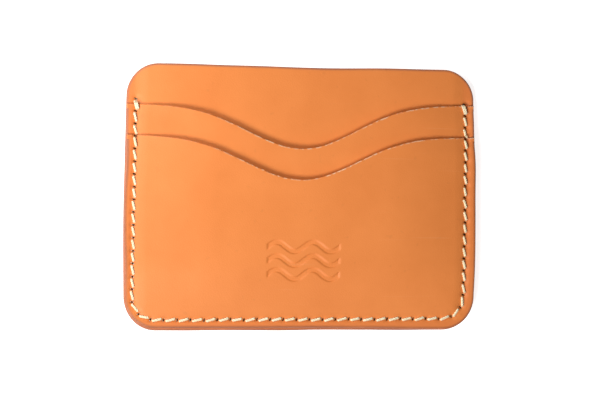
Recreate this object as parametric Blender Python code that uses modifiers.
"""A hand-sewn leather card holder, lying flat on its back.

Two full-size panels leave a centre slot that is open at the top. Two pockets with
wave-shaped mouths are stacked on the front one. One waxed thread saddle-stitches all
the layers together in a U, and a second, thinner one sews the hidden foot of the
upper pocket to the panel behind it.

Units are metres. X runs across the width, Y towards the pocket mouths and Z out of
the front face. The origin is the middle of the back face.
"""

import math

import bmesh
import bpy
from mathutils import Matrix, Vector

MM = 0.001

# Outline of the two full panels
WIDTH = 100 * MM
HEIGHT = 75 * MM
CORNER_RADIUS = 9 * MM
CORNER_STEPS = 7

# Leather, from the back to the front
BACK_THICKNESS = 1.5 * MM
LEATHER = 1.1 * MM
LAYER_GAP = 0.3 * MM
BACK_TOP = BACK_THICKNESS
CENTRE_BASE = BACK_TOP + LAYER_GAP
CENTRE_TOP = CENTRE_BASE + LEATHER
UPPER_BASE = CENTRE_TOP + LAYER_GAP
UPPER_TOP = UPPER_BASE + LEATHER
FRONT_BASE = UPPER_TOP + LAYER_GAP
FRONT_TOP = FRONT_BASE + LEATHER

# Wave-shaped mouths: a straight edge with a bell-shaped thumb dip near the middle
UPPER_MOUTH = 64.1 * MM
UPPER_DIP = 12.7 * MM
UPPER_DIP_SPREAD = 15.0 * MM
FRONT_MOUTH = 55.5 * MM
FRONT_DIP = 12.5 * MM
FRONT_DIP_SPREAD = 15.5 * MM
DIP_CENTRE = 0.5 * MM
MOUTH_STEPS = 36

# Foot of the upper pocket, and the front pocket's step down over it
FOOT_EDGE = 12.5 * MM
STEP_HIGH = 12.2 * MM
STEP_LOW = 11.35 * MM

# U-shaped seam that joins all the layers
SEAM_INSET = 2.8 * MM
SEAM_TOP = 64.9 * MM
SEAM_RUNS = ((16, 3.57 * MM), (27, 3.737 * MM), (9, 3.50 * MM), (7, 3.40 * MM))
THREAD_RADIUS = 0.3 * MM
THREAD_SIDE = 0.4 * MM
THREAD_CLEARANCE = 0.12 * MM
SLIT_LENGTH = 1.8 * MM
SLIT_WIDTH = 0.8 * MM
GROOVE_WIDTH = 1.9 * MM
GROOVE_DEPTH = 0.85 * MM

# Hidden seam along the foot of the upper pocket
FOOT_SEAM = 14.8 * MM
FOOT_SEAM_HALF = 42 * MM
FOOT_SPANS = 22
FOOT_THREAD_RADIUS = 0.2 * MM
FOOT_THREAD_SIDE = 0.28 * MM
FOOT_SLIT_LENGTH = 1.3 * MM
FOOT_SLIT_WIDTH = 0.7 * MM
FOOT_GROOVE_WIDTH = 1.4 * MM
FOOT_GROOVE_DEPTH = 0.4 * MM


def clear_scene():
    for thing in list(bpy.data.objects):
        bpy.data.objects.remove(thing, do_unlink=True)


def make_collection(name):
    collection = bpy.data.collections.new(name)
    bpy.context.scene.collection.children.link(collection)
    return collection


def make_material(name, colour, roughness):
    material = bpy.data.materials.new(name)
    material.use_nodes = True
    shader = material.node_tree.nodes["Principled BSDF"]
    shader.inputs["Base Color"].default_value = (*colour, 1.0)
    shader.inputs["Roughness"].default_value = roughness
    shader.inputs["Metallic"].default_value = 0.0
    return material


def from_bottom(height):
    """The Y of a height that is measured up from the bottom edge."""
    return height - HEIGHT / 2


# ---------------------------------------------------------------- outlines


def corner(centre_x, centre_y, start):
    """A quarter turn of the rounded corner, counter-clockwise from the start angle."""
    turn = [start + math.pi / 2 * i / CORNER_STEPS for i in range(CORNER_STEPS + 1)]
    return [
        (centre_x + CORNER_RADIUS * math.cos(a), centre_y + CORNER_RADIUS * math.sin(a))
        for a in turn
    ]


def bottom_edge():
    x = WIDTH / 2 - CORNER_RADIUS
    y = CORNER_RADIUS - HEIGHT / 2
    return corner(-x, y, math.pi) + corner(x, y, 1.5 * math.pi)


def top_edge():
    x = WIDTH / 2 - CORNER_RADIUS
    y = HEIGHT / 2 - CORNER_RADIUS
    return corner(x, y, 0.0) + corner(-x, y, math.pi / 2)


def foot_edge():
    y = from_bottom(FOOT_EDGE)
    return [(-WIDTH / 2, y), (WIDTH / 2, y)]


def mouth_edge(height, dip, spread):
    """The mouth from right to left, closest together where it curves the most."""
    edge = []
    for i in range(MOUTH_STEPS + 1):
        t = 1 - 2 * i / MOUTH_STEPS
        x = WIDTH / 2 * (0.55 * t + 0.45 * t**3)
        bell = math.exp(-((x - DIP_CENTRE) ** 2) / (2 * spread**2))
        edge.append((x, from_bottom(height) - dip * bell))
    return edge


# ---------------------------------------------------------------- solids


def mesh_from_curve(curve_object, collection):
    """A closed mesh of a curve's own shape, in the curve's place."""
    bpy.context.view_layer.update()
    evaluated = curve_object.evaluated_get(bpy.context.evaluated_depsgraph_get())
    mesh = bpy.data.meshes.new_from_object(evaluated)
    shape = bmesh.new()
    shape.from_mesh(mesh)
    bmesh.ops.remove_doubles(shape, verts=shape.verts, dist=0.00001)
    bmesh.ops.recalc_face_normals(shape, faces=shape.faces)
    shape.to_mesh(mesh)
    shape.free()
    name = curve_object.name
    place = curve_object.matrix_world.copy()
    bpy.data.objects.remove(curve_object, do_unlink=True)
    solid = bpy.data.objects.new(name, mesh)
    solid.matrix_world = place
    collection.objects.link(solid)
    return solid


def flat_solid(name, outline, base, top, collection):
    """A flat sheet with this outline, between two heights."""
    curve = bpy.data.curves.new(name, "CURVE")
    curve.dimensions = "2D"
    curve.fill_mode = "BOTH"
    curve.extrude = (top - base) / 2
    spline = curve.splines.new("POLY")
    spline.points.add(len(outline) - 1)
    for point, (x, y) in zip(spline.points, outline):
        point.co = (x, y, 0.0, 1.0)
    spline.use_cyclic_u = True
    sheet = bpy.data.objects.new(name, curve)
    sheet.location.z = (base + top) / 2
    collection.objects.link(sheet)
    return mesh_from_curve(sheet, collection)


def tube(name, points, radius, collection):
    """A thread that follows these points."""
    curve = bpy.data.curves.new(name, "CURVE")
    curve.dimensions = "3D"
    curve.bevel_depth = radius
    curve.bevel_resolution = 1
    curve.use_fill_caps = True
    spline = curve.splines.new("POLY")
    spline.points.add(len(points) - 1)
    for point, place in zip(spline.points, points):
        point.co = (*place, 1.0)
    strand = bpy.data.objects.new(name, curve)
    collection.objects.link(strand)
    return mesh_from_curve(strand, collection)


def as_cutter(cutter):
    cutter.hide_render = True
    cutter.display_type = "WIRE"
    return cutter


def cut(solid, cutter, operation="DIFFERENCE"):
    step = solid.modifiers.new(cutter.name, "BOOLEAN")
    step.operation = operation
    step.solver = "EXACT"
    step.object = cutter


def finish_piece(solid, material, parent):
    solid.data.materials.clear()
    solid.data.materials.append(material)
    solid.parent = parent
    return solid


# ---------------------------------------------------------------- seams


def seam_line(distance):
    """A place on the U seam and its direction, this far along it from its left end."""
    half = WIDTH / 2 - SEAM_INSET
    low = SEAM_INSET - HEIGHT / 2
    radius = CORNER_RADIUS - SEAM_INSET
    side = from_bottom(SEAM_TOP) - (low + radius)
    arc = math.pi / 2 * radius
    floor = 2 * (half - radius)
    if distance <= side:
        return Vector((-half, from_bottom(SEAM_TOP) - distance, 0)), Vector((0, -1, 0))
    distance -= side
    if distance <= arc:
        a = math.pi + distance / radius
        middle = Vector((radius - half, low + radius, 0))
        along = Vector((-math.sin(a), math.cos(a), 0))
        return middle + radius * Vector((math.cos(a), math.sin(a), 0)), along
    distance -= arc
    if distance <= floor:
        return Vector((radius - half + distance, low, 0)), Vector((1, 0, 0))
    distance -= floor
    if distance <= arc:
        a = 1.5 * math.pi + distance / radius
        middle = Vector((half - radius, low + radius, 0))
        along = Vector((-math.sin(a), math.cos(a), 0))
        return middle + radius * Vector((math.cos(a), math.sin(a), 0)), along
    distance -= arc
    return Vector((half, low + radius + distance, 0)), Vector((0, 1, 0))


def seam_length():
    radius = CORNER_RADIUS - SEAM_INSET
    side = SEAM_TOP - CORNER_RADIUS
    floor = WIDTH - 2 * CORNER_RADIUS
    return 2 * side + floor + math.pi * radius


def seam_holes():
    """The holes, marked run by run: left side, bottom and its corners, right side."""
    distances = [0.0]
    for count, pitch in SEAM_RUNS:
        start = distances[-1]
        distances += [start + pitch * (i + 1) for i in range(count)]
    return [seam_line(distance) for distance in distances]


def foot_holes():
    step = 2 * FOOT_SEAM_HALF / FOOT_SPANS
    y = from_bottom(FOOT_SEAM)
    along = Vector((1, 0, 0))
    return [
        (Vector((-FOOT_SEAM_HALF + step * i, y, 0)), along)
        for i in range(FOOT_SPANS + 1)
    ]


def inward(along):
    """The direction across the seam, to the left of the way it runs."""
    return Vector((-along.y, along.x, 0))


def slit_cutters(name, holes, length, width, base, top, collection):
    """One chisel slit for each hole, its long side across the seam."""
    shape = bmesh.new()
    for place, along in holes:
        across = inward(along)
        turn = Matrix((across, along, (0, 0, 1))).transposed().to_4x4()
        size = Matrix.Diagonal((length, width, top - base, 1))
        middle = Matrix.Translation(place + Vector((0, 0, (base + top) / 2)))
        bmesh.ops.create_cube(shape, size=1.0, matrix=middle @ turn @ size)
    bmesh.ops.recalc_face_normals(shape, faces=shape.faces)
    mesh = bpy.data.meshes.new(name)
    shape.to_mesh(mesh)
    shape.free()
    cutter = bpy.data.objects.new(name, mesh)
    collection.objects.link(cutter)
    return as_cutter(cutter)


def groove_cutter(name, line, width, base, top, collection):
    """A flat-bottomed channel along a line of (place, direction) pairs."""
    left = [place + inward(along) * width / 2 for place, along in line]
    right = [place - inward(along) * width / 2 for place, along in line]
    outline = [(p.x, p.y) for p in left + right[::-1]]
    return as_cutter(flat_solid(name, outline, base, top, collection))


def seam_groove_line():
    """The U seam's own line, run on a little past its first and last holes."""
    radius = CORNER_RADIUS - SEAM_INSET
    side = SEAM_TOP - CORNER_RADIUS
    arc = math.pi / 2 * radius
    turns = [side + arc * i / CORNER_STEPS for i in range(CORNER_STEPS + 1)]
    turns += [seam_length() - turn for turn in reversed(turns)]
    past = Vector((0, 1.3 * MM, 0))
    first, last = seam_line(0.0), seam_line(seam_length())
    corners = [seam_line(turn) for turn in turns]
    return [(first[0] + past, first[1]), *corners, (last[0] + past, last[1])]


def foot_groove_line():
    holes = foot_holes()
    past = Vector((1.2 * MM, 0, 0))
    return [(holes[0][0] - past, holes[0][1]), (holes[-1][0] + past, holes[-1][1])]


def surface_height(place):
    """The front surface of whatever leather lies on top at this hole."""
    height = place.y + HEIGHT / 2
    if height > UPPER_MOUTH:
        return CENTRE_TOP
    if height > FRONT_MOUTH:
        return UPPER_TOP
    if height > STEP_LOW - 1.5 * MM:
        return FRONT_TOP
    return UPPER_TOP


def strand(holes, first_is_front, side, bend, front_level, back_level):
    """One end of the thread, in and out of each hole from the first to the last.

    Each front stitch leaves a hole at its outer side and enters the next one at its
    inner side, and each back stitch does the opposite, so the two ends never cross.
    """
    points = []
    for i in range(len(holes) - 1):
        (start, along), (end, along_end) = holes[i], holes[i + 1]
        is_front = (i % 2 == 0) == first_is_front
        sign = -1 if is_front else 1
        lead = 0 if i == 0 else sign * side
        p = start + inward(along) * lead
        q = end - inward(along_end) * sign * side
        way = (q - p).normalized() * bend
        level = front_level(start, end) if is_front else back_level
        dip = -bend if is_front else bend
        points += [
            p + Vector((0, 0, level + dip)),
            p + way + Vector((0, 0, level)),
            q - way + Vector((0, 0, level)),
            q + Vector((0, 0, level + dip)),
        ]
    return points


def stitch_points(holes, side, bend, front_level, back_level, tail):
    """A whole saddle stitch: the thread's middle is in the first hole."""
    over = strand(holes, True, side, bend, front_level, back_level)
    under = strand(holes, False, side, bend, front_level, back_level)
    for end in (over, under):
        down = -tail if end[-1].z > back_level + 2 * bend else tail
        end.append(end[-1] + Vector((0, 0, down)))
    return over[::-1] + under


# ---------------------------------------------------------------- pieces


def build_back_panel(cutters, holes, groove):
    outline = bottom_edge() + top_edge()
    panel = flat_solid("back_panel", outline, 0.0, BACK_TOP, cutters["parts"])
    cut(panel, groove)
    cut(panel, holes)
    return panel


def build_centre_panel(cutters, holes, foot_slits, foot_groove):
    outline = bottom_edge() + top_edge()
    panel = flat_solid("centre_panel", outline, CENTRE_BASE, CENTRE_TOP, cutters["parts"])
    cut(panel, foot_groove)
    cut(panel, holes)
    cut(panel, foot_slits)
    return panel


def build_upper_pocket(cutters, holes, foot_slits, foot_groove):
    outline = foot_edge() + mouth_edge(UPPER_MOUTH, UPPER_DIP, UPPER_DIP_SPREAD)
    pocket = flat_solid("upper_pocket", outline, UPPER_BASE, UPPER_TOP, cutters["parts"])
    cut(pocket, foot_groove)
    cut(pocket, holes)
    cut(pocket, foot_slits)
    return pocket


def build_front_pocket(cutters, holes):
    """The outermost pocket, which steps down onto the centre panel past the foot edge."""
    shape = bmesh.new()
    bmesh.ops.create_grid(shape, x_segments=1, y_segments=3, size=0.5)
    rows = [-HEIGHT / 2 - 2 * MM, from_bottom(STEP_LOW)]
    rows += [from_bottom(STEP_HIGH), HEIGHT / 2]
    heights = [UPPER_BASE, UPPER_BASE, FRONT_BASE, FRONT_BASE]
    for vertex in shape.verts:
        row = round((vertex.co.y + 0.5) * 3)
        vertex.co = (vertex.co.x * (WIDTH + 4 * MM), rows[row], heights[row])
    mesh = bpy.data.meshes.new("front_pocket")
    shape.to_mesh(mesh)
    shape.free()
    pocket = bpy.data.objects.new("front_pocket", mesh)
    cutters["parts"].objects.link(pocket)
    skin = pocket.modifiers.new("Leather", "SOLIDIFY")
    skin.thickness = LEATHER
    skin.offset = 1.0
    skin.use_even_offset = True
    outline = bottom_edge() + mouth_edge(FRONT_MOUTH, FRONT_DIP, FRONT_DIP_SPREAD)
    stamp = flat_solid("front_outline", outline, 0.0, 10 * MM, cutters["cutters"])
    cut(pocket, as_cutter(stamp), "INTERSECT")
    cut(pocket, holes)
    return pocket


def build_seam_thread(cutters):
    def front(start, end):
        high = max(surface_height(start), surface_height(end))
        return high + THREAD_RADIUS + THREAD_CLEARANCE

    back = GROOVE_DEPTH - THREAD_CLEARANCE - THREAD_RADIUS
    path = stitch_points(seam_holes(), THREAD_SIDE, 0.35 * MM, front, back, 0.9 * MM)
    return tube("seam_thread", path, THREAD_RADIUS, cutters["parts"])


def build_foot_thread(cutters):
    front = UPPER_TOP - FOOT_GROOVE_DEPTH + 0.1 * MM + FOOT_THREAD_RADIUS
    back = CENTRE_BASE + FOOT_GROOVE_DEPTH - 0.1 * MM - FOOT_THREAD_RADIUS
    path = stitch_points(
        foot_holes(), FOOT_THREAD_SIDE, 0.2 * MM, lambda a, b: front, back, 0.5 * MM
    )
    return tube("foot_thread", path, FOOT_THREAD_RADIUS, cutters["parts"])


def main():
    clear_scene()
    groups = {
        "parts": make_collection("Card holder"),
        "cutters": make_collection("Cutters"),
    }
    holder = bpy.data.objects.new("card_holder", None)
    groups["parts"].objects.link(holder)

    leather = make_material("Tan leather", (0.75, 0.29, 0.09), 0.5)
    pocket_leather = make_material("Tan pocket leather", (0.77, 0.31, 0.10), 0.5)
    waxed = make_material("Waxed cream thread", (0.93, 0.82, 0.55), 0.6)

    slits = slit_cutters(
        "seam_slits", seam_holes(), SLIT_LENGTH, SLIT_WIDTH,
        -1 * MM, 9 * MM, groups["cutters"],
    )
    foot_slits = slit_cutters(
        "foot_slits", foot_holes(), FOOT_SLIT_LENGTH, FOOT_SLIT_WIDTH,
        -1 * MM, 9 * MM, groups["cutters"],
    )
    back_groove = groove_cutter(
        "back_groove", seam_groove_line(), GROOVE_WIDTH,
        -1 * MM, GROOVE_DEPTH, groups["cutters"],
    )
    centre_groove = groove_cutter(
        "centre_groove", foot_groove_line(), FOOT_GROOVE_WIDTH,
        CENTRE_BASE - 0.2 * MM, CENTRE_BASE + FOOT_GROOVE_DEPTH, groups["cutters"],
    )
    upper_groove = groove_cutter(
        "upper_groove", foot_groove_line(), FOOT_GROOVE_WIDTH,
        UPPER_TOP - FOOT_GROOVE_DEPTH, UPPER_TOP + 0.2 * MM, groups["cutters"],
    )

    back = build_back_panel(groups, slits, back_groove)
    centre = build_centre_panel(groups, slits, foot_slits, centre_groove)
    upper = build_upper_pocket(groups, slits, foot_slits, upper_groove)
    front = build_front_pocket(groups, slits)
    finish_piece(back, leather, holder)
    finish_piece(centre, leather, holder)
    finish_piece(upper, pocket_leather, holder)
    finish_piece(front, pocket_leather, holder)
    finish_piece(build_seam_thread(groups), waxed, holder)
    finish_piece(build_foot_thread(groups), waxed, holder)


main()
